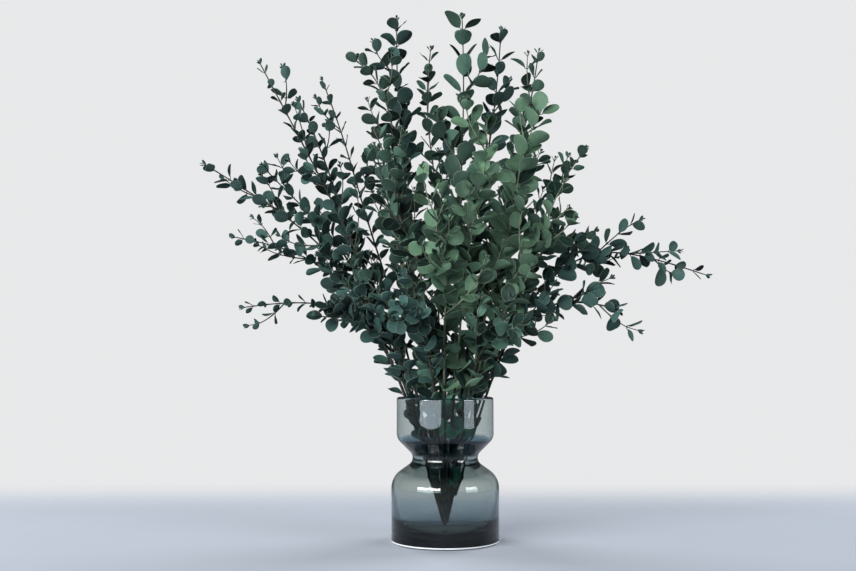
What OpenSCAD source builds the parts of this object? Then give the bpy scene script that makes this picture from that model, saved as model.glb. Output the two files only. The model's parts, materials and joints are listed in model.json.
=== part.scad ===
// Preserved eucalyptus branches standing in a smoked-glass hourglass vase.
// Frame: millimetres, +Z up, origin at the centre of the vase's foot, on the surface it stands on.
// +X is to the right and -Y is the front.

/* [Vase] */
// Height of the vase
vase_h = 200; // [180:5:230]
// Radius of the lower bulb
bulb_r = 75; // [72:0.5:80]
// Radius of the upper cup
cup_r = 67.8; // [66:0.2:72]
// Radius of the neck, outside
neck_r = 45.6; // [45:0.2:50]
// Thickness of the glass wall
wall = 7; // [5:0.5:7.5]
// Thickness of the glass at the neck
neck_wall = 11.6; // [9:0.2:12]
// Thickness of the glass floor
floor_t = 7; // [5:1:12]

/* [Branches] */
// Radius of a branch at its cut foot
stem_r = 1.8; // [1.4:0.1:2.2]
// Radius of a side twig where it leaves the branch
twig_r = 1.1; // [0.9:0.1:1.3]
// Length of the longest side twigs
twig_l = 105; // [80:5:130]

/* [Leaves] */
// Length of a full-grown leaf, petiole included
leaf_l = 29; // [24:1:34]
// Width of a leaf as a share of its length
leaf_shape = 0.74; // [0.6:0.02:0.85]
// Thickness of a leaf blade
leaf_t = 0.5; // [0.4:0.1:0.8]
// Distance between leaf pairs along a branch
leaf_gap = 24; // [20:1:30]

/* [Hidden] */
ARC_STEP = 5;            // degrees between the points of a rounded outline
SIDES_STEM = 5;          // a branch is a five-sided tapered tube
SIDES_TWIG = 3;          // and a side twig a three-sided one
STEM_RINGS = 12;
TWIG_RINGS = 4;
GOLDEN = 137.5;          // degrees from one twig to the next around the branch

shoulder_z = 0.4445 * vase_h;
neck_z = 0.5725 * vase_h;
cup_z = 0.7145 * vase_h;
foot_round = 4;          // rounding of the foot's edge
shoulder_round = 28;     // roundings of the outside at the bulb's shoulder, the neck and the cup
neck_round = 11.4;
cup_round = 17;
rim_round = 0.45 * wall;
bowl_round = 32;         // rounding of the hollow's lower corner
cup_in = cup_r - wall;
bulb_in = bulb_r - wall;
neck_in = neck_r - neck_wall;
bore = 0.04 * vase_h;    // half the height of the neck's straight bore, and its rounding

// Each branch: [tip, bend, leaf size, leaf size at the tip, number of side twigs].
// The bend is the point that the upper part of the branch leans towards.
// Leaf sizes are shares of a full-grown leaf.
BRANCHES = [
    [[-338, -30, 526], [-160,  -18, 420], 0.95, 0.60, 5],
    [[-312,  60, 434], [-150,   32, 392], 0.85, 0.45, 4],
    [[-290,  20, 327], [-122,   13, 345], 0.65, 0.40, 2],
    [[-257, -60, 662], [-160,  -40, 470], 0.90, 0.35, 6],
    [[-268,  45, 537], [-160,   30, 432], 1.00, 0.60, 5],
    [[-210,   0, 624], [-150,    0, 440], 0.95, 0.50, 4],
    [[-186,  90, 680], [-115,   60, 450], 0.80, 0.50, 2],
    [[-130, -25, 678], [ -38,  -15, 600], 0.95, 0.60, 3],
    [[ -70,  20, 750], [ -66,   15, 520], 1.15, 0.95, 4],
    [[ -97, -95, 560], [ -72,  -60, 430], 1.05, 0.70, 5],
    [[ -20,  75, 722], [ -10,   55, 480], 0.95, 0.60, 4],
    [[  24, -35, 735], [  26,  -25, 500], 1.25, 1.05, 4],
    [[  85,  45, 742], [  52,   30, 480], 1.15, 0.85, 4],
    [[ 135,  -5, 694], [  84,   -5, 470], 1.15, 0.55, 5],
    [[ 135, -85, 600], [  88,  -60, 430], 1.25, 1.05, 4],
    [[ 208,  35, 562], [ 122,   20, 405], 1.05, 0.60, 5],
    [[ 160,-120, 450], [  95,  -85, 370], 1.10, 0.80, 5],
    [[ 230,  75, 400], [ 150,   60, 480], 1.05, 0.75, 4],
    [[ 369, -15, 370], [ 160,   -8, 456], 1.05, 0.45, 6],
    [[ 236, -60, 318], [ 132,  -36, 352], 1.05, 0.70, 5],
    [[-150,-110, 325], [ -95,  -75, 290], 1.00, 0.80, 5],
    [[ 104,-150, 296], [  60,  -84, 290], 1.00, 0.80, 4],
    [[ -64,-175, 490], [ -45, -120, 380], 1.05, 0.80, 5],
    [[  -5,-225, 440], [  -5, -140, 360], 1.10, 0.85, 5],
    [[  50,-180, 555], [  35, -120, 400], 1.10, 0.85, 5],
    [[ -60,-200, 320], [ -36, -112, 290], 0.97, 0.80, 5],
    [[-110, 190, 600], [ -75,  130, 430], 1.05, 0.60, 5],
    [[   5, 205, 640], [   5,  140, 440], 1.05, 0.60, 5],
    [[ 120, 190, 580], [  80,  125, 420], 1.05, 0.60, 5]
];
function label(i) = str(i < 9 ? "0" : "", i + 1);

// ---------------------------------------------------------------- vase

function arc(centre, r, from, to) =
    let (steps = ceil(abs(to - from) / ARC_STEP))
    [for (k = [0:steps]) let (a = from + (to - from) * k / steps)
        centre + r * [cos(a), sin(a)]];

function unit(v) = v / norm(v);
function left_of(way) = [-way[1], way[0]];
function reversed(list) = [for (k = [len(list) - 1:-1:0]) list[k]];

// The rounding of corner b, on the way from a to c.
function round_corner(a, b, c, r) =
    let (
        coming = unit(b - a),
        going = unit(c - b),
        bend = atan2(left_of(coming) * going, coming * going),
        back = r * tan(abs(bend) / 2),
        start = atan2(coming[1], coming[0]) - 90 * sign(bend)
    )
    arc(b - back * coming + sign(bend) * r * left_of(coming), r, start, start + bend);

// The outline through corners [radius, height, rounding].
function rounded(corners) =
    [for (k = [0:len(corners) - 1]) each corners[k][2] == 0 ? [flat(corners[k])]
        : round_corner(flat(corners[k - 1]), flat(corners[k]), flat(corners[k + 1]), corners[k][2])];
function flat(corner) = [corner[0], corner[1]];

// A rounded corner stands off from its sharp one by this share of its radius at the neck.
STAND_OFF = 0.545;

module vase_outline() {
    polygon(rounded([
        [0, 0, 0],
        [bulb_r, 0, foot_round],
        [bulb_r, shoulder_z, shoulder_round],
        [neck_r - STAND_OFF * neck_round, neck_z, neck_round],
        [cup_r, cup_z, cup_round],
        [cup_r, vase_h, rim_round],
        [cup_in, vase_h, rim_round],
        [cup_in, cup_z + 2, cup_round - wall],
        [neck_in, neck_z + bore, bore],
        [neck_in, neck_z - bore, bore],
        [bulb_in, shoulder_z - 3, shoulder_round - wall],
        [bulb_in, floor_t, bowl_round],
        [0, floor_t, 0]
    ]));
}

module glass_vase() {
    color([0.42, 0.50, 0.54, 0.45]) rotate_extrude($fn = 128) vase_outline();
}

// ---------------------------------------------------------------- curves

// A curve is four control points and a sway, which bends it to and fro, more towards its tip.
function bezier(p, t) =
    pow(1 - t, 3) * p[0] + 3 * t * pow(1 - t, 2) * p[1]
    + 3 * t * t * (1 - t) * p[2] + pow(t, 3) * p[3]
    + p[4] * t * t * sin(540 * t);
function heading(p, t) = unit(bezier(p, min(1, t + 0.02)) - bezier(p, max(0, t - 0.02)));

// A direction square to the heading, turned by an angle around it.
function sideways(along, angle) =
    let (
        ref = abs(along[2]) < 0.9 ? [0, 0, 1] : [0, 1, 0],
        a = unit(cross(ref, along)),
        b = cross(along, a)
    )
    cos(angle) * a + sin(angle) * b;

function length_of(p) = norm(p[1] - p[0]) + norm(p[2] - p[1]) + norm(p[3] - p[2]);

// Points and faces of a closed tapered tube along a curve.
function tube_points(p, r0, r1, rings, sides) =
    [for (k = [0:rings - 1]) let (t = k / (rings - 1), h = heading(p, t), r = r0 + (r1 - r0) * t)
        for (s = [0:sides - 1]) bezier(p, t) + r * sideways(h, 360 * s / sides)];
function tube_faces(rings, sides, first) = concat(
    [[for (s = [sides - 1:-1:0]) first + s]],
    [for (k = [0:rings - 2]) for (s = [0:sides - 1]) let (n = (s + 1) % sides, a = first + k * sides)
        for (f = [[a + s, a + n, a + n + sides], [a + s, a + n + sides, a + s + sides]]) f],
    [[for (s = [0:sides - 1]) first + (rings - 1) * sides + s]]
);

// ---------------------------------------------------------------- branches

// All branches run up through the neck as one open cone with its point near the vase's floor.
// The wider a branch reaches, the nearer it stands to the outside of the bunch.
CONE_TIP = 16;
CUT_LOW = 6;             // height of the lowest cut foot above the glass floor
CONE_SLOPE = 0.295;
CUT_SPREAD = 55;
WIDEST = 370;
SWAY = 13;
function branch_curve(i) =
    let (
        b = BRANCHES[i],
        reach = [b[0][0], b[0][1], 0],
        out = CONE_SLOPE * sqrt(norm(reach) / WIDEST) * unit(reach),
        cut = floor_t + CUT_LOW + CUT_SPREAD * abs(chance(i, 9, 1)[0]),
        free = min(1.9 * vase_h, 1.05 * b[0][2]),
        turn = 180 * chance(i, 8, 1)[0]
    )
    [on_cone(out, cut), on_cone(out, free), b[1], b[0], SWAY * [cos(turn), sin(turn), 0]];
function on_cone(out, z) = (z - CONE_TIP) * out + [0, 0, z];

// Random numbers of a branch, from -1 to 1, always the same ones.
function chance(i, what, n) = rands(-1, 1, n, 1000 * what + i);

function twig_curve(i, j) =
    let (
        main = branch_curve(i),
        count = BRANCHES[i][4],
        luck = chance(i, 1 + j, 4),
        t = 0.32 + 0.62 * (j + 0.5 + 0.3 * luck[0]) / count,
        along = heading(main, t),
        out = sideways(along, GOLDEN * j + 60 * i + 25 * luck[1]),
        lean = 40 + 9 * luck[2],
        way = cos(lean) * along + sin(lean) * out,
        l = twig_l * (1 - 0.5 * j / count) * (1 + 0.22 * luck[3]),
        from = bezier(main, t)
    )
    [from, from + 0.33 * l * way, from + 0.66 * l * way + [0, 0, 0.03 * l],
     from + 0.93 * l * unit(way + 0.35 * along) + [0, 0, 0.08 * l], [0, 0, 0]];

module stem(i) {
    twigs = BRANCHES[i][4];
    stem_points = tube_points(branch_curve(i), stem_r, 0.45 * stem_r, STEM_RINGS, SIDES_STEM);
    twig_points = [for (j = [0:twigs - 1]) each
        tube_points(twig_curve(i, j), twig_r, 0.5 * twig_r, TWIG_RINGS, SIDES_TWIG)];
    twig_faces = [for (j = [0:twigs - 1]) each
        tube_faces(TWIG_RINGS, SIDES_TWIG, len(stem_points) + j * TWIG_RINGS * SIDES_TWIG)];
    color([0.17, 0.15, 0.12]) polyhedron(
        concat(stem_points, twig_points),
        concat(tube_faces(STEM_RINGS, SIDES_STEM, 0), twig_faces)
    );
}

// ---------------------------------------------------------------- leaves

// A leaf as [place, long axis, width axis, face, length].
// Pairs stand opposite each other, and each pair is turned a quarter from the one below.
// Those in the vase are smaller and lie close to the stem.
function leaf_pairs(p, r0, from, size, tip_size, gap, seed) =
    let (count = max(2, floor(length_of(p) * (1 - from) / gap)))
    [for (k = [0:count - 1]) let (
            t = from + (1 - from) * (k + 0.25) / count,
            along = heading(p, t),
            luck = rands(-1, 1, 8, seed + k),
            grown = size + (tip_size - size) * pow(max(0, (t - 0.4) / 0.6), 2)
        )
        for (s = [0, 1]) let (
            out = sideways(along, 90 * k + 180 * s + seed * 37 + 16 * luck[s]),
            place = bezier(p, t) + 0.8 * r0 * out,
            pressed = place[2] < vase_h,
            lean = (56 - 16 * t + 16 * luck[2 + s]) * (pressed ? 0.45 : 1),
            axis = cos(lean) * along + sin(lean) * out,
            level = unit(cross(along, out)),
            roll = 38 * luck[4 + s],
            side = cos(roll) * level + sin(roll) * cross(axis, level)
        )
        [place, axis, side, cross(axis, side), grown * (1 + 0.13 * luck[6 + s]) * (pressed ? 0.8 : 1)]];

function branch_leaves(i) =
    let (
        b = BRANCHES[i],
        main = branch_curve(i),
        size = leaf_l * b[2],
        end = leaf_l * b[3],
        on_stem = leaf_pairs(main, stem_r, 0.04, size, end, leaf_gap, 100 * i + 7),
        on_twigs = [for (j = [0:b[4] - 1]) each leaf_pairs(
            twig_curve(i, j), twig_r, 0.2, 0.86 * size, 0.7 * end, 0.85 * leaf_gap, 100 * i + 20 + 10 * j)]
    )
    [for (f = concat(on_stem, on_twigs)) if (above_rim(f) || (in_hollow(f) && kept(f))) f];

// The corners of a leaf's blade: both ends and both sides.
function blade(f) =
    let (middle = f[0] + 0.5 * f[4] * f[1], half_w = 0.5 * f[4] * leaf_shape)
    [f[0], f[0] + f[4] * f[1], middle + half_w * f[2], middle - half_w * f[2]];

// A leaf stays on where all of it is above the rim, and where it fits into the vase's hollow.
// Few leaves are left on the stems in the vase, fewer the deeper they stand.
RIM_GAP = 2;
LEAF_ROOM = 3;
HOLLOW = [
    [floor_t, bulb_in - bowl_round],
    [floor_t + bowl_round, bulb_in],
    [shoulder_z - 15, bulb_in],
    [shoulder_z + 3, bulb_in - 10],
    [neck_z - bore, neck_in],
    [neck_z + bore, neck_in],
    [cup_z - 1, cup_in - 4],
    [cup_z + 7, cup_in]
];
LEFT_ON = [[0.15 * vase_h, 0], [0.3 * vase_h, 0.2], [neck_z, 0.3], [cup_z, 0.45], [0.9 * vase_h, 0.9]];
function above_rim(f) = min([for (p = blade(f)) p[2]]) > vase_h + RIM_GAP;
function in_hollow(f) = max([for (p = blade(f)) norm([p[0], p[1]]) - lookup(p[2], HOLLOW)]) < -LEAF_ROOM;
function kept(f) = rands(0, 1, 1, 1000 * f[4])[0] < lookup(f[0][2], LEFT_ON);

// The blade is a pointed oval: the shape that two crossing discs have in common.
module leaf(f) {
    half_l = f[4] / 2;
    half_w = half_l * leaf_shape;
    r = (half_l * half_l + half_w * half_w) / (2 * half_w);
    m = [for (k = [0:2]) [f[1][k], f[2][k], f[3][k], f[0][k]]];
    multmatrix([m[0], m[1], m[2], [0, 0, 0, 1]])
        linear_extrude(leaf_t) intersection() {
            translate([half_l, half_w - r]) circle(r, $fn = 96);
            translate([half_l, r - half_w]) circle(r, $fn = 96);
        }
}

module leaves(i) {
    color([0.25, 0.38, 0.31]) for (f = branch_leaves(i)) leaf(f);
}

// ---------------------------------------------------------------- nodes

glass_vase();
for (i = [0:len(BRANCHES) - 1]) {
    stem(i);
    leaves(i);
}
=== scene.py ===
"""Preserved eucalyptus in a smoked-glass vase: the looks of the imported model.

Every branch and leaf grows where its CAD node says. The CAD tubes give the centrelines and the CAD
blades give each leaf's place, direction and size; the round stems, the cupped leaves and the glass
are then built here at full detail. Metres, +Z up, -Y to the front.
"""
import json
import math
import random

import bpy
import numpy as np
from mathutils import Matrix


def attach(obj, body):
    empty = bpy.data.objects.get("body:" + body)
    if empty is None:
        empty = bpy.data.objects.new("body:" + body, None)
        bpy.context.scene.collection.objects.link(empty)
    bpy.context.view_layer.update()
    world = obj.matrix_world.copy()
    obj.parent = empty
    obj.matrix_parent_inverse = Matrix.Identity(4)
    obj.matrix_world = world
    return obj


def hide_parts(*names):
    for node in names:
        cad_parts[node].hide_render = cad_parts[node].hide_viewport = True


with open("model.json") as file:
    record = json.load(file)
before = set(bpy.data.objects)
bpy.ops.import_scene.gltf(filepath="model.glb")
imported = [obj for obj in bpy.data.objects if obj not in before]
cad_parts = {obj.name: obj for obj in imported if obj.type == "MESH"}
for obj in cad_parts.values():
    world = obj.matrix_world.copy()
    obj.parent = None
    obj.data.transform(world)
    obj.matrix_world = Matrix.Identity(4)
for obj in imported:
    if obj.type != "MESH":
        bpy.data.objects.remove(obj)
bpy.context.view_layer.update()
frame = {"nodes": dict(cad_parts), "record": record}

MM = 0.001


# ---------------------------------------------------------------- reading the CAD nodes

def node_arrays(name):
    """Vertices of a CAD node and its faces as tuples of vertex numbers."""
    mesh = frame["nodes"][name].data
    points = np.empty(len(mesh.vertices) * 3)
    mesh.vertices.foreach_get("co", points)
    return points.reshape(-1, 3), [tuple(p.vertices) for p in mesh.polygons]


def islands(count, faces):
    """Groups of faces that share vertices, as lists of face numbers."""
    parent = list(range(count))

    def root(v):
        while parent[v] != v:
            parent[v] = parent[parent[v]]
            v = parent[v]
        return v

    for face in faces:
        first = root(face[0])
        for v in face[1:]:
            parent[root(v)] = first
    groups = {}
    for number, face in enumerate(faces):
        groups.setdefault(root(face[0]), []).append(number)
    return list(groups.values())


WELD_STEP = 0.02 * MM


def welded(points, faces):
    """The same mesh with vertices at one place joined."""
    keys = {}
    merged = []
    index = []
    for p in points:
        key = tuple(np.round(p / WELD_STEP).astype(int))
        if key not in keys:
            keys[key] = len(merged)
            merged.append(p)
        index.append(keys[key])
    return np.array(merged), [tuple(index[v] for v in face) for face in faces]


# vertices of a tube this close together belong to one ring of it
RING_REACH = 6 * MM


def tubes(name):
    """Centrelines of a stem node's tubes, thickest first, each from foot to tip, as rows x, y, z, r."""
    points, faces = welded(*node_arrays(name))
    found = []
    for group in islands(len(points), faces):
        rings = []
        for v in sorted({v for f in group for v in faces[f]}):
            near = [r for r in rings if np.linalg.norm(points[r[0]] - points[v]) < RING_REACH]
            if near:
                near[0].append(v)
            else:
                rings.append([v])
        rows = []
        for ring in rings:
            centre = points[ring].mean(axis=0)
            radius = np.linalg.norm(points[ring] - centre, axis=1).mean()
            rows.append([*centre, radius])
        found.append(np.array(sorted(rows, key=lambda row: -row[3])))
    return sorted(found, key=lambda line: -line[0][3])


def unit(v):
    return v / np.linalg.norm(v)


def nearest_on(lines, point):
    """Closest point on the centrelines: (distance, place, direction there, radius there)."""
    best = None
    for line in lines:
        a, b = line[:-1, :3], line[1:, :3]
        way = b - a
        t = np.clip(((point - a) * way).sum(axis=1) / (way * way).sum(axis=1), 0, 1)
        foot = a + t[:, None] * way
        gap = np.linalg.norm(foot - point, axis=1)
        k = int(gap.argmin())
        if best is None or gap[k] < best[0]:
            radius = line[k, 3] + t[k] * (line[k + 1, 3] - line[k, 3])
            best = (gap[k], foot[k], unit(way[k]), radius)
    return best


# a face with less than half this area, in square metres, has no clear direction
NO_AREA = 1e-12
# cosine above which two faces point the same way
ALIGNED = 0.9999
SAME_PLANE = 0.05 * MM
SAME_LEAF = 30 * MM
SHORTEST_LEAF = 4 * MM
# least area of a leaf's flat face, as a share of its length squared
FLAT_FILL = 0.225


def flat_piece(points, faces, group):
    """A group of faces as one flat piece with its direction, corners and area, or None if it is bent."""
    normals = []
    area = 0
    for number in group:
        p = points[list(faces[number])]
        cross = np.cross(p[1] - p[0], p[2] - p[0])
        size = np.linalg.norm(cross)
        if size > NO_AREA:
            normals.append(cross / size)
            area += size / 2
    normals = np.array(normals)
    if len(normals) == 0 or (normals @ normals[0]).min() < ALIGNED:
        return None
    used = sorted({v for number in group for v in faces[number]})
    return {"normal": normals[0], "corners": points[used], "area": area}


def one_flat(piece, other):
    """Whether two flat pieces point the same way, in one plane and close together."""
    off_plane = abs((piece["corners"][0] - other["corners"][0]) @ piece["normal"])
    apart = np.linalg.norm(piece["corners"].mean(axis=0) - other["corners"].mean(axis=0))
    return other["normal"] @ piece["normal"] > ALIGNED and off_plane < SAME_PLANE and apart < SAME_LEAF


def flat_faces(name):
    """A node's flat faces, each put together from the pieces that lie in its plane."""
    points, faces = node_arrays(name)
    flats = []
    for group in islands(len(points), faces):
        piece = flat_piece(points, faces, group)
        if piece is None:
            continue
        for other in flats:
            if one_flat(piece, other):
                other["corners"] = np.vstack([other["corners"], piece["corners"]])
                other["area"] += piece["area"]
                break
        else:
            flats.append(piece)
    return flats


def leaf_frames(name, lines):
    """Every leaf of a node as (stem, base, long axis, side axis, upper face, length, width).

    Stem is what nearest_on says of the leaf's base. A leaf's flat top and bottom are the only large
    flat faces that its CAD blade has, and its top is the one that faces along the stem.
    """
    leaves = []
    for flat in flat_faces(name):
        corners = flat["corners"]
        spread = np.linalg.norm(corners[:, None] - corners[None], axis=2)
        a, b = np.unravel_index(spread.argmax(), spread.shape)
        length = spread[a, b]
        if length < SHORTEST_LEAF or flat["area"] < FLAT_FILL * length * length:
            continue
        base, tip = corners[a], corners[b]
        if nearest_on(lines, tip)[0] < nearest_on(lines, base)[0]:
            base, tip = tip, base
        stem = nearest_on(lines, base)
        if flat["normal"] @ stem[2] <= 0:
            continue
        axis = unit(tip - base)
        side = unit(np.cross(flat["normal"], axis))
        across = (corners - base) @ side
        width = across.max() - across.min()
        leaves.append((stem, base, axis, side, flat["normal"], length, width))
    return leaves


# ---------------------------------------------------------------- mesh building

def smooth_line(line, per_span):
    """A centreline with per_span points for each of its spans, curving through its own points."""
    padded = np.vstack([2 * line[0] - line[1], line, 2 * line[-1] - line[-2]])
    rows = []
    for k in range(1, len(padded) - 2):
        p0, p1, p2, p3 = padded[k - 1:k + 3]
        for s in range(per_span):
            t = s / per_span
            rows.append(0.5 * (2 * p1 + (p2 - p0) * t + (2 * p0 - 5 * p1 + 4 * p2 - p3) * t * t
                               + (3 * p1 - p0 - 3 * p2 + p3) * t ** 3))
    rows.append(line[-1])
    return np.array(rows)


class MeshMaker:
    """Collects vertices, faces and per-vertex values, and turns them into one object."""

    def __init__(self):
        self.points = []
        self.faces = []
        self.uv = []
        self.tint = []
        self.count = 0

    def add(self, points, faces, uv, tint):
        self.points.append(points)
        self.faces.append(faces + self.count)
        self.uv.append(uv)
        self.tint.append(np.broadcast_to(tint, (len(points), 3)))
        self.count += len(points)

    def build(self, name, material, sharp_angle=None):
        points = np.vstack(self.points)
        faces = np.vstack(self.faces)
        mesh = bpy.data.meshes.new(name)
        mesh.from_pydata(points.tolist(), [], faces.tolist())
        mesh.update()
        uv = np.vstack(self.uv)
        layer = mesh.uv_layers.new(name="along")
        corner = np.empty(len(mesh.loops), dtype=np.int32)
        mesh.loops.foreach_get("vertex_index", corner)
        layer.data.foreach_set("uv", uv[corner].ravel())
        tint = mesh.attributes.new("tint", "FLOAT_VECTOR", "POINT")
        tint.data.foreach_set("vector", np.vstack(self.tint).ravel())
        mesh.polygons.foreach_set("use_smooth", [True] * len(mesh.polygons))
        if sharp_angle:
            mesh.set_sharp_from_angle(angle=sharp_angle)
        mesh.materials.append(material)
        obj = bpy.data.objects.new(name, mesh)
        bpy.context.scene.collection.objects.link(obj)
        return obj


def grid_faces(rows, cols, wrap):
    """Quads of a rows x cols grid of vertices; wrap joins the last column to the first."""
    r, c = np.meshgrid(np.arange(rows - 1), np.arange(cols if wrap else cols - 1), indexing="ij")
    n = (c + 1) % cols
    return np.stack([r * cols + c, r * cols + n, (r + 1) * cols + n, (r + 1) * cols + c], -1).reshape(-1, 4)


# a tube's ends close to this share of its radius there
END_SHARE = 0.02
# a direction that no stem runs along, from which the first ring is turned
OFF_STEM = (0.31, 0.87, 0.38)


def add_tube(maker, line, sides, tint):
    """A round tube along a line of x, y, z, r rows, closed at both ends."""
    centres, radii = line[:, :3], line[:, 3]
    centres = np.vstack([centres[:1], centres, centres[-1:]])
    radii = np.concatenate([[radii[0] * END_SHARE], radii, [radii[-1] * END_SHARE]])
    ways = np.gradient(centres[1:-1], axis=0)
    ways = np.vstack([ways[:1], ways, ways[-1:]])
    turn = np.arange(sides) * 2 * math.pi / sides
    rings = []
    a = unit(np.cross(ways[0], OFF_STEM))
    for centre, radius, way in zip(centres, radii, ways):
        way = unit(way)
        a = unit(a - (a @ way) * way)
        b = np.cross(way, a)
        rings.append(centre + radius * (np.outer(np.cos(turn), a) + np.outer(np.sin(turn), b)))
    rows = len(rings)
    uv = np.stack(np.meshgrid(np.linspace(0, 1, rows), np.linspace(0, 1, sides), indexing="ij"), -1)
    maker.add(np.vstack(rings), grid_faces(rows, sides, True), uv.reshape(-1, 2), tint)


# ---------------------------------------------------------------- stems

# rings for each CAD span, and sides
BRANCH_DETAIL = (8, 10)
TWIG_DETAIL = (6, 8)
# a stem swells by this share where leaves grow from it, over this length
NODE_SWELL = 0.28
NODE_REACH = 2.5 * MM
# its thickness wanders in a wave: height, radians from ring to ring, and the most it starts at
WANDER = 0.04
WANDER_PACE = 1.7
WANDER_START = 6
TIP_TAPER = 0.6


def build_stem(name, lines, leaves, pale, material):
    """The branch and its side twigs: round, tapered, and swollen where leaves grow from them."""
    maker = MeshMaker()
    places = np.array([leaf[0][1] for leaf in leaves])
    rng = random.Random(name)
    for number, line in enumerate(lines):
        rings, sides = BRANCH_DETAIL if number == 0 else TWIG_DETAIL
        fine = smooth_line(line, rings)
        gap = np.linalg.norm(fine[:, None, :3] - places[None], axis=2).min(axis=1)
        fine[:, 3] *= 1 + NODE_SWELL * np.exp(-(gap / NODE_REACH) ** 2)
        fine[:, 3] *= 1 + WANDER * np.sin(np.arange(len(fine)) * WANDER_PACE + rng.random() * WANDER_START)
        fine[-1, 3] *= TIP_TAPER
        add_tube(maker, fine, sides, (rng.uniform(-1, 1), number > 0, pale))
    return maker.build(name, material)


# ---------------------------------------------------------------- leaves

LEAF_ROWS = 13
LEAF_COLS = 9
LEAF_THICK = 0.45 * MM
# a leaf's share of this thickness is its length over SMALL_LEAF plus SMALL_THICK, and 1 at most
SMALL_LEAF = 20 * MM
SMALL_THICK = 0.3
EDGE_THICK = 0.25
# the blade's outline, blunter for smaller powers, and the share of its length left off each end
TIP_BLUNT = 0.52
BASE_BLUNT = 0.62
BLADE_END = 0.004
# what each leaf draws its own shape from: lengths as shares of the leaf's, cup in 1/metres, twist in radians
WIDTH_RANGE = (0.82, 1.16)
SKEW_RANGE = (-0.06, 0.06)
FOLD_RANGE = (0.02, 0.30)
CUP_RANGE = (-6.0, 12.0)
BOW_RANGE = (-0.16, 0.10)
WAVE_RANGE = (0.0, 0.035)
TWIST_RANGE = (-0.35, 0.35)
FOLD_ROUND = 0.6 * MM
BOW_FROM = 0.15
WAVE_TURNS = 1.1
# the midrib: half its width, how much of it is gone at the tip, its depth above and its height below
RIB_HALF = 0.55 * MM
RIB_FADE = 0.7
RIB_SUNK = 0.12 * MM
RIB_PROUD = 0.45 * MM
# the stalk: its share of the leaf, the row of the blade it ends on, its sag, its root and its radii
STALK_SHARE = 0.11
STALK_ROW = 2
STALK_SAG = 0.06
STALK_ROOT = 0.6
STALK_RADII = (0.75 * MM, 0.55 * MM, 0.5 * MM, 0.25 * MM)
# its radii grow with the leaf, from the smallest share of them by length over STALK_FULL to the largest
STALK_SMALLEST = 0.35
STALK_LARGEST = 1.1
STALK_FULL = 32 * MM
STALK_RINGS = 3
STALK_SIDES = 6
# how far tints stray, by branch and by leaf; painted shade: leaves darken with their height above
# CROWN_FROM, in metres, for how the light falls on the crown
TONE_SPREAD = 0.5
SHADE_SPREAD = 0.75
WARM_SPREAD = 0.25
CROWN_SHADE = 2.0
CROWN_FROM = 0.33
LEAF_CREASE = math.radians(60)


def outline(u):
    """Half width of a blade as a share of its greatest, at u from 0 at the stalk to 1 at the tip."""
    peak = BASE_BLUNT / (BASE_BLUNT + TIP_BLUNT)
    top = peak ** BASE_BLUNT * (1 - peak) ** TIP_BLUNT
    return u ** BASE_BLUNT * (1 - u) ** TIP_BLUNT / top


def blade_faces(count):
    """Faces of a blade whose first count vertices are its top, the next its underside, with a rim."""
    grid = grid_faces(LEAF_ROWS, LEAF_COLS, False)
    number = np.arange(count).reshape(LEAF_ROWS, LEAF_COLS)
    rim = np.concatenate([number[:, 0], number[-1, 1:], number[-2::-1, -1], number[0, -2:0:-1]])
    following = np.roll(rim, -1)
    rim_faces = np.stack([rim, following, following + count, rim + count], -1)
    return np.vstack([grid, grid[:, ::-1] + count, rim_faces])


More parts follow.
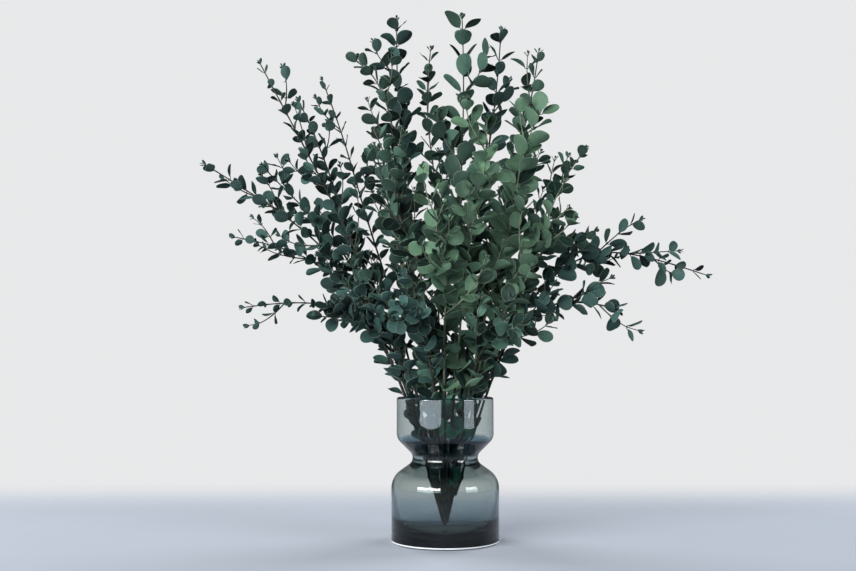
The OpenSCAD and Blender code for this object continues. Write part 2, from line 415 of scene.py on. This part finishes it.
def add_leaf(maker, leaf, rng, tone):
    """One cupped leaf with a creased midrib, a rolled edge and a stalk that grows out of the stem."""
    stem, base, axis, side, face, length, width = leaf
    stalk = STALK_SHARE * length
    half = 0.5 * width * rng.uniform(*WIDTH_RANGE)
    u = 0.5 - 0.5 * np.cos(math.pi * np.linspace(0, 1, LEAF_ROWS))
    u = BLADE_END + (1 - 2 * BLADE_END) * u
    v = np.sin(np.linspace(-1, 1, LEAF_COLS) * math.pi / 2)
    uu, vv = np.meshgrid(u, v, indexing="ij")
    skew = rng.uniform(*SKEW_RANGE)
    across = half * outline(uu) * vv
    x = stalk + (length - stalk) * uu
    y = across + skew * length * np.sin(math.pi * uu)
    fold = rng.uniform(*FOLD_RANGE)
    cup = rng.uniform(*CUP_RANGE)
    bow = rng.uniform(*BOW_RANGE)
    wave = rng.uniform(*WAVE_RANGE) * length
    phase = rng.uniform(0, 2 * math.pi)
    lift = (fold * np.sqrt(across ** 2 + FOLD_ROUND ** 2) + cup * across ** 2
            + bow * length * (uu - BOW_FROM) ** 2
            + wave * vv ** 2 * np.sign(vv) * np.sin(WAVE_TURNS * 2 * math.pi * uu + phase))
    twist = rng.uniform(*TWIST_RANGE) * uu
    lift = lift + y * np.sin(twist)
    y = y * np.cos(twist)
    rib = np.exp(-(across / RIB_HALF) ** 2) * (1 - RIB_FADE * uu)
    edge = np.sqrt(np.clip(1 - vv ** 6, 0, 1)) * (1 - EDGE_THICK) + EDGE_THICK
    thick = LEAF_THICK * edge * min(1, length / SMALL_LEAF + SMALL_THICK)

    def place(height):
        return base + np.outer(x.ravel(), axis) + np.outer(y.ravel(), side) + np.outer(height.ravel(), face)

    top = place(lift - RIB_SUNK * rib)
    under = place(lift - thick - RIB_PROUD * rib)
    count = len(top)
    uv = np.stack([uu.ravel(), (vv.ravel() + 1) / 2], -1)
    # painted shade: leaves high in the crown are darker, low ones lighter
    crown_painted_shade = CROWN_SHADE * (base[2] - CROWN_FROM)
    shade = tone + rng.gauss(0, SHADE_SPREAD) - crown_painted_shade
    warm = rng.gauss(0, WARM_SPREAD)
    tint = np.repeat([[shade, warm, 0.0], [shade, warm, 1.0]], count, axis=0)
    maker.add(np.vstack([top, under]), blade_faces(count), np.vstack([uv, uv]), tint)
    # the stalk, from inside the stem to a little way along the midrib
    start = stem[1]
    end = place(lift - 0.5 * thick)[LEAF_COLS * STALK_ROW + LEAF_COLS // 2]
    middle = 0.5 * (start + end) - STALK_SAG * length * face
    root = start + STALK_ROOT * (middle - start)
    centres = (start, root, 0.5 * (middle + end), end)
    line = np.array([[*centre, radius] for centre, radius in zip(centres, STALK_RADII)])
    line[:, 3] *= min(STALK_LARGEST, STALK_SMALLEST + length / STALK_FULL)
    add_tube(maker, smooth_line(line, STALK_RINGS), STALK_SIDES, (tone, 0, 0.5))


# the two newest pairs of leaves: length, and how far back from the end they grow; turn in radians and
# lean in degrees, and OFF_TIP is a direction that no tip points in
TIP_PAIRS = ((9 * MM, 4 * MM), (5.5 * MM, 0))
TIP_LENGTHS = (0.8, 1.2)
TIP_WIDTH = 0.55
TIP_TURN = 0.4
TIP_LEAN = (22, 40)
TIP_STEM = 0.5 * MM
OFF_TIP = (0.2, 0.5, 0.84)


def add_tip_leaves(maker, lines, rng, tone):
    """The two newest pairs of leaves at the end of each branch and twig, the second across the first."""
    for line in lines:
        end = line[-1, :3]
        way = unit(line[-1, :3] - line[-2, :3])
        a = unit(np.cross(way, OFF_TIP))
        b = np.cross(way, a)
        for level, (full, back) in enumerate(TIP_PAIRS):
            size = full * rng.uniform(*TIP_LENGTHS)
            for k in range(2):
                turn = math.pi * k + level * math.pi / 2 + rng.uniform(-TIP_TURN, TIP_TURN)
                out = math.cos(turn) * a + math.sin(turn) * b
                lean = math.radians(rng.uniform(*TIP_LEAN))
                axis = math.cos(lean) * way + math.sin(lean) * out
                side = unit(np.cross(way, out))
                face = np.cross(axis, side)
                if face @ way < 0:
                    face, side = -face, -side
                base = end - way * back
                stem = (0, base, way, TIP_STEM)
                add_leaf(maker, (stem, base, axis, side, face, size, TIP_WIDTH * size), rng, tone)


def build_leaves(name, lines, leaves, material, tone):
    """All the leaves of one branch, with their stalks, as one object."""
    rng = random.Random(name)
    maker = MeshMaker()
    for leaf in leaves:
        add_leaf(maker, leaf, rng, tone)
    add_tip_leaves(maker, lines, rng, tone)
    return maker.build(name, material, LEAF_CREASE)


# ---------------------------------------------------------------- vase

VASE_SEGMENTS = 192
VASE_CREASE = math.radians(40)
SAME_RING = 0.05 * MM
# a stretch longer than LONG_SPAN gets a point this far from each end
LONG_SPAN = 6 * MM
HOLD = 1.5 * MM


def vase_outline():
    """The vase's outline as (radius, height), from the middle of its foot round to its inner floor."""
    points, faces = node_arrays("glass_vase")
    rings, ring_of = [], []
    for point in points:
        here = np.array([math.hypot(point[0], point[1]), point[2]])
        near = [k for k, ring in enumerate(rings) if abs(ring - here).max() < SAME_RING]
        if not near:
            near = [len(rings)]
            rings.append(here)
        ring_of.append(near[0])
    links = {k: set() for k in range(len(rings))}
    for face in faces:
        for a, b in zip(face, face[1:] + face[:1]):
            if ring_of[a] != ring_of[b]:
                links[ring_of[a]].add(ring_of[b])
                links[ring_of[b]].add(ring_of[a])
    ends = [k for k in links if len(links[k]) == 1]
    path = [min(ends, key=lambda k: rings[k][1])]
    while True:
        onward = links[path[-1]] - set(path)
        if not onward:
            break
        path.append(onward.pop())
    return [rings[k] for k in path]


def held(outline):
    """The outline with a point near both ends of each long stretch, to keep its shading straight."""
    full = [outline[0]]
    for a, b in zip(outline, outline[1:]):
        span = np.linalg.norm(b - a)
        if span > LONG_SPAN:
            full += [a + (b - a) * HOLD / span, b - (b - a) * HOLD / span]
        full.append(b)
    return full


def build_vase(material):
    """The vase as a lathe of its CAD outline, shaded smooth."""
    outline = held([row for row in vase_outline() if row[0] > SAME_RING])
    turn = np.arange(VASE_SEGMENTS) * 2 * math.pi / VASE_SEGMENTS
    circle = np.stack([np.cos(turn), np.sin(turn)], -1)
    points = [(r * x, r * y, z) for r, z in outline for x, y in circle]
    faces = grid_faces(len(outline), VASE_SEGMENTS, True).tolist()
    for row, step in ((0, -1), (len(outline) - 1, 1)):
        pole = len(points)
        points.append((0, 0, outline[row][1]))
        first = row * VASE_SEGMENTS
        for k in range(VASE_SEGMENTS)[::step]:
            faces.append([first + k, first + (k + step) % VASE_SEGMENTS, pole])
    mesh = bpy.data.meshes.new("vase")
    mesh.from_pydata(points, [], faces)
    mesh.polygons.foreach_set("use_smooth", [True] * len(mesh.polygons))
    mesh.set_sharp_from_angle(angle=VASE_CREASE)
    mesh.materials.append(material)
    vase = bpy.data.objects.new("vase", mesh)
    bpy.context.scene.collection.objects.link(vase)
    return vase


# ---------------------------------------------------------------- materials

WHITE = (1, 1, 1, 1)


def new_material(name):
    material = bpy.data.materials.new(name)
    material.use_nodes = True
    tree = material.node_tree
    return material, tree, tree.nodes["Principled BSDF"]


def node(tree, kind, values=(), **settings):
    """Adds a shader node; values fill its inputs in order, and a socket among them is linked."""
    made = tree.nodes.new("ShaderNode" + kind)
    for key, value in settings.items():
        setattr(made, key, value)
    for socket, value in zip(made.inputs, values):
        if value is None:
            continue
        if isinstance(value, bpy.types.NodeSocket):
            tree.links.new(value, socket)
        else:
            socket.default_value = value
    return made


def maths(tree, operation, a, b=None, c=None):
    return node(tree, "Math", (a, b, c), operation=operation).outputs[0]


def mix(tree, share, a, b, blend="MIX"):
    """Colour mix of a and b."""
    made = tree.nodes.new("ShaderNodeMix")
    made.data_type = "RGBA"
    made.blend_type = blend
    made.clamp_factor = True
    for socket, value in ((made.inputs[0], share), (made.inputs[6], a), (made.inputs[7], b)):
        if isinstance(value, bpy.types.NodeSocket):
            tree.links.new(value, socket)
        else:
            socket.default_value = value
    return made.outputs[2]


def smoothstep(tree, value, low, high):
    """0 below low and 1 above high, with a smooth rise between."""
    made = node(tree, "MapRange", (value, low, high, 0.0, 1.0), interpolation_type="SMOOTHSTEP")
    return made.outputs[0]


def split(tree, vector):
    """The X, Y and Z of a vector."""
    return node(tree, "SeparateXYZ", (vector,)).outputs


def own_place(tree):
    """Where on its object a point is, in metres."""
    return node(tree, "TexCoord").outputs["Object"]


def own_tint(tree):
    """The three tint values that the mesh carries."""
    return split(tree, node(tree, "Attribute", attribute_name="tint").outputs["Vector"])


def noise(tree, place, scale, detail, roughness):
    return node(tree, "TexNoise", (place, None, scale, detail, roughness)).outputs[0]


def add_bump(tree, shader, height, strength, distance):
    bump = node(tree, "Bump", (strength, distance))
    tree.links.new(height, bump.inputs["Height"])
    tree.links.new(bump.outputs[0], shader.inputs["Normal"])


def mix_surfaces(tree, share, first, second):
    """Makes the material's surface first, with this share of second."""
    made = tree.nodes.new("ShaderNodeMixShader")
    for socket, value in zip(made.inputs, (share, first, second)):
        tree.links.new(value, socket)
    tree.links.new(made.outputs[0], tree.nodes["Material Output"].inputs["Surface"])


def srgb(r, g, b):
    """Linear colour with alpha from 0-255 display values."""
    def linear(c):
        c /= 255
        return c / 12.92 if c <= 0.04045 else ((c + 0.055) / 1.055) ** 2.4
    return (linear(r), linear(g), linear(b), 1)


# painted shade: leaves and wood below the vase's mouth are darker and bluer, for the shade and the smoked
# glass's tint down in the vase
VASE_MOUTH = (0.19, 0.21)
VASE_SHADE_TINT = (0.30, 0.90, 1.0, 1)


def shade_in_vase(tree, place, colour):
    """The colour with painted shade, darker and bluer down in the vase."""
    vase_shade = mix(tree, 1.0, colour, VASE_SHADE_TINT, "MULTIPLY")
    return mix(tree, smoothstep(tree, split(tree, place)["Z"], *VASE_MOUTH), vase_shade, colour)


# noise as scale, detail and roughness; gains as factor and offset; edges as start and end
MOTTLE = (260.0, 4.0, 0.6)
CLOUD = (45.0, 2.0, 0.5)
# how fresh a leaf's colour is, from its own tint and from soft clouds over it
TINT_GAIN = (0.48, 0.33)
CLOUD_GAIN = (0.7, -0.35)
WARM_EDGE = (0.1, 0.8)
WARM_SHARE = 0.35
# side veins slant forward from the rib, this many on each side
VEIN_SLANT = -0.38
VEIN_COUNT = 9.0
VEIN_EDGE = (0.40, 0.5)
VEIN_STRENGTH = 0.55
RIB_EDGE = (0.02, 0.075)
VEIN_SHARE = 0.28
RIM_EDGE = (0.93, 0.995)
RIM_SHARE = 0.7
RIM_COLOUR = srgb(150, 164, 140)
MOTTLE_GAIN = (1.6, -0.62)
MOTTLE_DARK = (0.55, 0.6, 0.6, 1)
MOTTLE_SHARE = 0.8
UNDER_EDGE = (0.6, 0.9)
UNDER_SHARE = 0.35
LEAF_ROUGHNESS = (0.22, 0.54)
LEAF_SPECULAR = 0.14
LEAF_RELIEF = (0.6, 0.35)
LEAF_BUMP = (0.35, 0.3 * MM)


def leaf_material(name, deep, fresh, under):
    """Waxy leaf: deep to fresh green by leaf, paler underneath, veins, a thin pale edge and mottling."""
    material, tree, shader = new_material(name)
    tint = own_tint(tree)
    along = split(tree, node(tree, "UVMap", uv_map="along").outputs[0])
    across = maths(tree, "ABSOLUTE", maths(tree, "MULTIPLY_ADD", along[1], 2.0, -1.0))
    place = own_place(tree)
    mottle = noise(tree, place, *MOTTLE)
    cloud = noise(tree, place, *CLOUD)
    # colour by leaf
    share = maths(tree, "MULTIPLY_ADD", tint[0], *TINT_GAIN)
    share = maths(tree, "ADD", share, maths(tree, "MULTIPLY_ADD", cloud, *CLOUD_GAIN))
    colour = mix(tree, share, deep, fresh)
    warm = mix(tree, smoothstep(tree, tint[1], *WARM_EDGE), colour, fresh)
    colour = mix(tree, WARM_SHARE, colour, warm)
    # midrib, veins and edge
    slant = maths(tree, "MULTIPLY_ADD", across, VEIN_SLANT, along[0])
    ripple = maths(tree, "PINGPONG", maths(tree, "MULTIPLY", slant, VEIN_COUNT), 0.5)
    vein = maths(tree, "MULTIPLY", smoothstep(tree, ripple, *VEIN_EDGE), VEIN_STRENGTH)
    rib = maths(tree, "SUBTRACT", 1.0, smoothstep(tree, across, *RIB_EDGE))
    line = maths(tree, "MAXIMUM", vein, rib)
    colour = mix(tree, maths(tree, "MULTIPLY", line, VEIN_SHARE), colour, under)
    edge = smoothstep(tree, across, *RIM_EDGE)
    colour = mix(tree, maths(tree, "MULTIPLY", edge, RIM_SHARE), colour, RIM_COLOUR)
    # mottling and the paler underside
    dark = mix(tree, maths(tree, "MULTIPLY_ADD", mottle, *MOTTLE_GAIN), MOTTLE_DARK, WHITE)
    colour = mix(tree, MOTTLE_SHARE, colour, dark, "MULTIPLY")
    below = smoothstep(tree, tint[2], *UNDER_EDGE)
    colour = mix(tree, maths(tree, "MULTIPLY", below, UNDER_SHARE), colour, under)
    # painted shade darkens the leaf down in the vase
    tree.links.new(shade_in_vase(tree, place, colour), shader.inputs["Base Color"])
    tree.links.new(maths(tree, "MULTIPLY_ADD", mottle, *LEAF_ROUGHNESS), shader.inputs["Roughness"])
    shader.inputs["Specular IOR Level"].default_value = LEAF_SPECULAR
    raised = maths(tree, "MULTIPLY", line, LEAF_RELIEF[0])
    height = maths(tree, "ADD", raised, maths(tree, "MULTIPLY", mottle, LEAF_RELIEF[1]))
    add_bump(tree, shader, height, *LEAF_BUMP)
    return material


FLECK = (700.0, 3.0, 0.65)
FLECK_STRETCH = (1, 1, 0.25)
FLECK_GAIN = (1.6, -0.75)
FLECK_COLOUR = srgb(84, 82, 70)
PATCH = (60.0, 2.0, 0.5)
PATCH_GAIN = (1.6, -0.3)
WOOD_COLOURS = (srgb(22, 22, 22), srgb(44, 43, 38))
TWIG_COLOURS = (srgb(30, 36, 32), srgb(58, 64, 54))
PALE_COLOURS = (srgb(80, 92, 78), srgb(122, 130, 108))
# pale branches turn pale between these heights
PALE_FROM = (0.19, 0.30)
BARK_ROUGHNESS = (0.3, 0.5)
BARK_SPECULAR = 0.1
BARK_BUMP = (0.6, 0.4 * MM)


def bark_material():
    """Dark bark, greener on twigs and pale high on the lighter branches, with fine lengthwise flecks."""
    material, tree, shader = new_material("bark")
    tint = own_tint(tree)
    place = own_place(tree)
    stretched = node(tree, "VectorMath", (place, FLECK_STRETCH), operation="MULTIPLY").outputs[0]
    fleck = noise(tree, stretched, *FLECK)
    spread = maths(tree, "MULTIPLY_ADD", noise(tree, place, *PATCH), *PATCH_GAIN)
    wood, twig, pale = (mix(tree, spread, *pair) for pair in (WOOD_COLOURS, TWIG_COLOURS, PALE_COLOURS))
    colour = mix(tree, tint[1], wood, twig)
    high = smoothstep(tree, split(tree, place)["Z"], *PALE_FROM)
    colour = mix(tree, maths(tree, "MULTIPLY", tint[2], high), colour, pale)
    colour = mix(tree, maths(tree, "MULTIPLY_ADD", fleck, *FLECK_GAIN), colour, FLECK_COLOUR)
    # painted shade darkens the bark down in the vase
    tree.links.new(shade_in_vase(tree, place, colour), shader.inputs["Base Color"])
    tree.links.new(maths(tree, "MULTIPLY_ADD", fleck, *BARK_ROUGHNESS), shader.inputs["Roughness"])
    shader.inputs["Specular IOR Level"].default_value = BARK_SPECULAR
    add_bump(tree, shader, fleck, *BARK_BUMP)
    return material


GLASS_IOR = 1.48
GLASS_COLOUR = (0.23, 0.36, 0.38, 1)
GLASS_DENSITY = 62.0
GLASS_RIPPLE = (22.0, 1.0, 0.4)
GLASS_BUMP = (0.03, 2 * MM)
GLASS_SMEAR = (90.0, 3.0, 0.6)
SMEAR_ROUGHNESS = 0.006
# painted shade round the bowl's thick lower corner: how high it reaches, how far round the edge, and the
# radius of its wall
CORNER_HEIGHT = 70 * MM
CORNER_REACH = 0.64
CORNER_RISE = 0.6
CORNER_EDGE = (-0.06, 0.08)
EDGE_SHADE_TINT = (0.10, 0.18, 0.22, 1)
OUTER_WALL = (71 * MM, 73 * MM)
# painted highlight: a pale line round the foot, which starts and ends between these heights
RING_START = (1.2 * MM, 1.8 * MM)
RING_END = (3.0 * MM, 3.8 * MM)
FOOT_HIGHLIGHT_STRENGTH = 0.7
FOOT_HIGHLIGHT_COLOUR = srgb(236, 240, 242)
# painted shade: surface tint of the glass by height, darker toward the foot and in bands higher up, as a
# share of TINT_HEIGHT
TINT_HEIGHT = 0.2
GLASS_SHADE_STOPS = (
    (0.00, (0.52, 0.60, 0.63)),
    (0.20, (0.70, 0.76, 0.78)),
    (0.34, (0.92, 0.93, 0.90)),
    (0.43, (0.88, 0.90, 0.87)),
    (0.50, (0.62, 0.66, 0.64)),
    (0.55, (0.74, 0.78, 0.76)),
    (0.59, (0.97, 0.98, 0.97)),
    (0.64, (0.20, 0.40, 0.47)),
    (0.70, (0.10, 0.26, 0.34)),
    (0.735, (1.00, 1.00, 1.00)),
)


def painted_shade_by_height(tree, height):
    """Painted shade: the glass's surface tint by height, from the stops listed above."""
    tint = tree.nodes.new("ShaderNodeValToRGB")
    while len(tint.color_ramp.elements) < len(GLASS_SHADE_STOPS):
        tint.color_ramp.elements.new(0.5)
    for stop, (share, colour) in zip(tint.color_ramp.elements, GLASS_SHADE_STOPS):
        stop.position = share
        stop.color = (*colour, 1)
    tree.links.new(maths(tree, "MULTIPLY", height, 1 / TINT_HEIGHT), tint.inputs[0])
    return tint.outputs[0]


def painted_edge_shade(tree, place, height):
    """Painted shade: 1 round the edge of the bowl's thick lower corner, where it is seen aslant, and 0
    elsewhere.
    """
    rise = maths(tree, "POWER", maths(tree, "MULTIPLY", height, 1 / CORNER_HEIGHT), CORNER_RISE)
    aslant = node(tree, "LayerWeight", (0.5,)).outputs["Facing"]
    past = maths(tree, "SUBTRACT", aslant, maths(tree, "MULTIPLY", rise, CORNER_REACH))
    level = node(tree, "VectorMath", (place, (1, 1, 0)), operation="MULTIPLY").outputs[0]
    radius = node(tree, "VectorMath", (level,), operation="LENGTH").outputs["Value"]
    outside = smoothstep(tree, radius, *OUTER_WALL)
    return maths(tree, "MULTIPLY", smoothstep(tree, past, *CORNER_EDGE), outside)


def glass_material():
    """Smoked grey-blue glass, tinted through its thickness, with the faint ripple of blown glass, painted
    shade by height and round the bowl's edge, and a painted highlight line round the foot.
    """
    material, tree, shader = new_material("smoked_glass")
    shader.inputs["Transmission Weight"].default_value = 1.0
    shader.inputs["IOR"].default_value = GLASS_IOR
    place = own_place(tree)
    height = split(tree, place)["Z"]
    # painted shade: the glass's tint darkens by height and round the edge of the bowl's lower corner
    painted_shade_tint = mix(tree, painted_edge_shade(tree, place, height), painted_shade_by_height(tree, height), EDGE_SHADE_TINT)
    tree.links.new(painted_shade_tint, shader.inputs["Base Color"])
    smear = maths(tree, "MULTIPLY", noise(tree, place, *GLASS_SMEAR), SMEAR_ROUGHNESS)
    tree.links.new(smear, shader.inputs["Roughness"])
    add_bump(tree, shader, noise(tree, place, *GLASS_RIPPLE), *GLASS_BUMP)
    absorb = tree.nodes.new("ShaderNodeVolumeAbsorption")
    absorb.inputs["Color"].default_value = GLASS_COLOUR
    absorb.inputs["Density"].default_value = GLASS_DENSITY
    tree.links.new(absorb.outputs[0], tree.nodes["Material Output"].inputs["Volume"])
    # the painted highlight, a thin pale line round the foot
    above = smoothstep(tree, height, *RING_START)
    ring = maths(tree, "SUBTRACT", above, smoothstep(tree, height, *RING_END))
    painted_highlight = node(tree, "BsdfDiffuse", (FOOT_HIGHLIGHT_COLOUR,)).outputs[0]
    mix_surfaces(tree, maths(tree, "MULTIPLY", ring, FOOT_HIGHLIGHT_STRENGTH), shader.outputs[0], painted_highlight)
    return material


# the table top: half its depth, how much wider it is, and where it starts to fade out
FLOOR_END = 0.75
FLOOR_STRETCH = 2.2
FLOOR_PLAIN = 0.30
FLOOR_CORNER = 0.1
FLOOR_SINK = 0.2 * MM
FLOOR_GRAIN = (3.0, 2.0, 0.5)
FLOOR_COLOURS = (srgb(160, 166, 176), srgb(165, 171, 181))
FLOOR_ROUGHNESS = 0.8


def floor_material():
    """A pale matt table top whose edges fade out into the backdrop, well away from the object."""
    material, tree, shader = new_material("pale_floor")
    place = own_place(tree)
    colour = mix(tree, noise(tree, place, *FLOOR_GRAIN), *FLOOR_COLOURS)
    tree.links.new(colour, shader.inputs["Base Color"])
    shader.inputs["Roughness"].default_value = FLOOR_ROUGHNESS
    shader.inputs["Specular IOR Level"].default_value = 0.0
    spot = split(tree, place)
    aside = maths(tree, "MULTIPLY", maths(tree, "ABSOLUTE", spot["X"]), 1 / FLOOR_STRETCH)
    away = maths(tree, "SMOOTH_MAX", aside, maths(tree, "ABSOLUTE", spot["Y"]), FLOOR_CORNER)
    clear = node(tree, "BsdfTransparent").outputs[0]
    mix_surfaces(tree, smoothstep(tree, away, FLOOR_PLAIN, FLOOR_END), shader.outputs[0], clear)
    return material


# ---------------------------------------------------------------- the object

BARK = bark_material()
GLASS = glass_material()
LEAF_LOOKS = {
    "leaf_dark": leaf_material("leaf_dark", srgb(7, 19, 20), srgb(66, 97, 92), srgb(66, 90, 86)),
    "leaf_mid": leaf_material("leaf_mid", srgb(8, 21, 19), srgb(84, 118, 103), srgb(74, 100, 88)),
    "leaf_light": leaf_material("leaf_light", srgb(15, 35, 29), srgb(109, 142, 114), srgb(92, 119, 101)),
}
PALE_BARK = {"leaf_dark": 0.0, "leaf_mid": 0.35, "leaf_light": 0.8}
SLOT_OF = {part["node"]: part["material_slot"] for part in frame["record"]["subparts"]}


def build_branches():
    """Every branch of the record: its wood with its side twigs, and its leaves."""
    for stem_node in sorted(n for n in frame["nodes"] if n.startswith("stem_")):
        label = stem_node[len("stem_"):]
        leaf_node = "leaves_" + label
        lines = tubes(stem_node)
        leaves = leaf_frames(leaf_node, lines)
        tone = random.Random("tone" + label).uniform(-TONE_SPREAD, TONE_SPREAD)
        wood = build_stem("branch_" + label, lines, leaves, PALE_BARK[SLOT_OF[leaf_node]], BARK)
        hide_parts(stem_node)
        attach(wood, "root")
        foliage = build_leaves("foliage_" + label, lines, leaves, LEAF_LOOKS[SLOT_OF[leaf_node]], tone)
        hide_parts(leaf_node)
        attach(foliage, "root")


build_branches()

vase = build_vase(GLASS)
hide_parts("glass_vase")
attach(vase, "root")


# ---------------------------------------------------------------- floor, light and camera

def build_floor():
    half_width = FLOOR_END * FLOOR_STRETCH
    corners = [(x * half_width, y * FLOOR_END, 0) for x, y in ((-1, -1), (1, -1), (1, 1), (-1, 1))]
    mesh = bpy.data.meshes.new("floor")
    mesh.from_pydata(corners, [], [(0, 1, 2, 3)])
    mesh.materials.append(floor_material())
    floor = bpy.data.objects.new("floor", mesh)
    floor.location.z = -FLOOR_SINK
    bpy.context.scene.collection.objects.link(floor)
    return floor


floor = build_floor()

BOX_DISTANCE = 3.2
AIM_HEIGHT = 0.4
# each softbox: bearing in degrees to the right of the front, height, size, brightness, colour, mirrored
NEUTRAL = (0.99, 0.99, 0.98)
COOL = (0.94, 0.97, 1.0)
BLUE = (0.76, 0.90, 1.0)
BACK_COLOUR = (0.97, 0.98, 1.0)
SOFTBOXES = {
    "key": (-36, 1.0, (3.1, 0.8), 28.0, NEUTRAL, True),
    "key_low": (-36, 0.28, (3.1, 0.62), 7.0, BLUE, True),
    "fill": (57, 1.0, (1.5, 0.8), 15.0, COOL, True),
    "fill_low": (57, 0.28, (1.5, 0.62), 6.0, BLUE, True),
    "back_right": (128, 1.4, (2.4, 1.2), 14.0, BACK_COLOUR, False),
    "back_left": (-135, 1.4, (2.4, 1.2), 14.0, BACK_COLOUR, False),
}


def add_softbox(name, bearing, height, size, brightness, colour, mirrored):
    """A softbox aimed at the middle of the branches; one that is mirrored shows in glossy surfaces."""
    data = bpy.data.lights.new(name, "AREA")
    data.shape = "RECTANGLE"
    data.size, data.size_y = size
    data.energy = brightness * math.pi * size[0] * size[1]
    data.color = colour
    light = bpy.data.objects.new(name, data)
    bpy.context.scene.collection.objects.link(light)
    turn = math.radians(bearing)
    light.location = (BOX_DISTANCE * math.sin(turn), -BOX_DISTANCE * math.cos(turn), height)
    drop = math.atan2(height - AIM_HEIGHT, BOX_DISTANCE)
    light.rotation_euler = (math.pi / 2 - drop, 0, turn)
    light.visible_camera = False
    light.visible_transmission = False
    light.visible_glossy = mirrored


for name, settings in SOFTBOXES.items():
    add_softbox(name, *settings)

# how bright the studio is: seen directly or through glass, in reflections, and as light
BACKDROP = 0.82
SHEEN = 0.08
AMBIENT = 0.015
STUDIO_COLOUR = (0.985, 0.99, 1.0, 1)


def build_studio():
    """A pale backdrop that lights the object only a little, so that the softboxes shape it."""
    world = bpy.data.worlds.new("studio")
    bpy.context.scene.world = world
    world.use_nodes = True
    tree = world.node_tree
    ray = node(tree, "LightPath").outputs
    undimmed = maths(tree, "MAXIMUM", ray["Is Camera Ray"], ray["Is Transmission Ray"])
    plain_view = maths(tree, "MULTIPLY", undimmed, maths(tree, "LESS_THAN", ray["Diffuse Depth"], 0.5))
    dim = node(tree, "MapRange", (ray["Is Glossy Ray"], 0.0, 1.0, AMBIENT, SHEEN)).outputs[0]
    brightness = node(tree, "MapRange", (plain_view, 0.0, 1.0, dim, BACKDROP)).outputs[0]
    tree.nodes["Background"].inputs[0].default_value = STUDIO_COLOUR
    tree.links.new(brightness, tree.nodes["Background"].inputs[1])


build_studio()
bpy.context.scene.view_settings.view_transform = "Standard"

CAMERA_PLACE = (-0.024, -1.481, 0.245)
CAMERA_TILT = 4.33
CAMERA_LENS = 44.1
CAMERA_SENSOR = 36


def build_camera():
    """A camera a little above the vase's mouth, tilted up by CAMERA_TILT degrees."""
    data = bpy.data.cameras.new("camera")
    data.sensor_width = CAMERA_SENSOR
    data.lens = CAMERA_LENS
    camera = bpy.data.objects.new("camera", data)
    bpy.context.scene.collection.objects.link(camera)
    camera.location = CAMERA_PLACE
    camera.rotation_euler = (math.radians(90 + CAMERA_TILT), 0, 0)
    bpy.context.scene.camera = camera


build_camera()
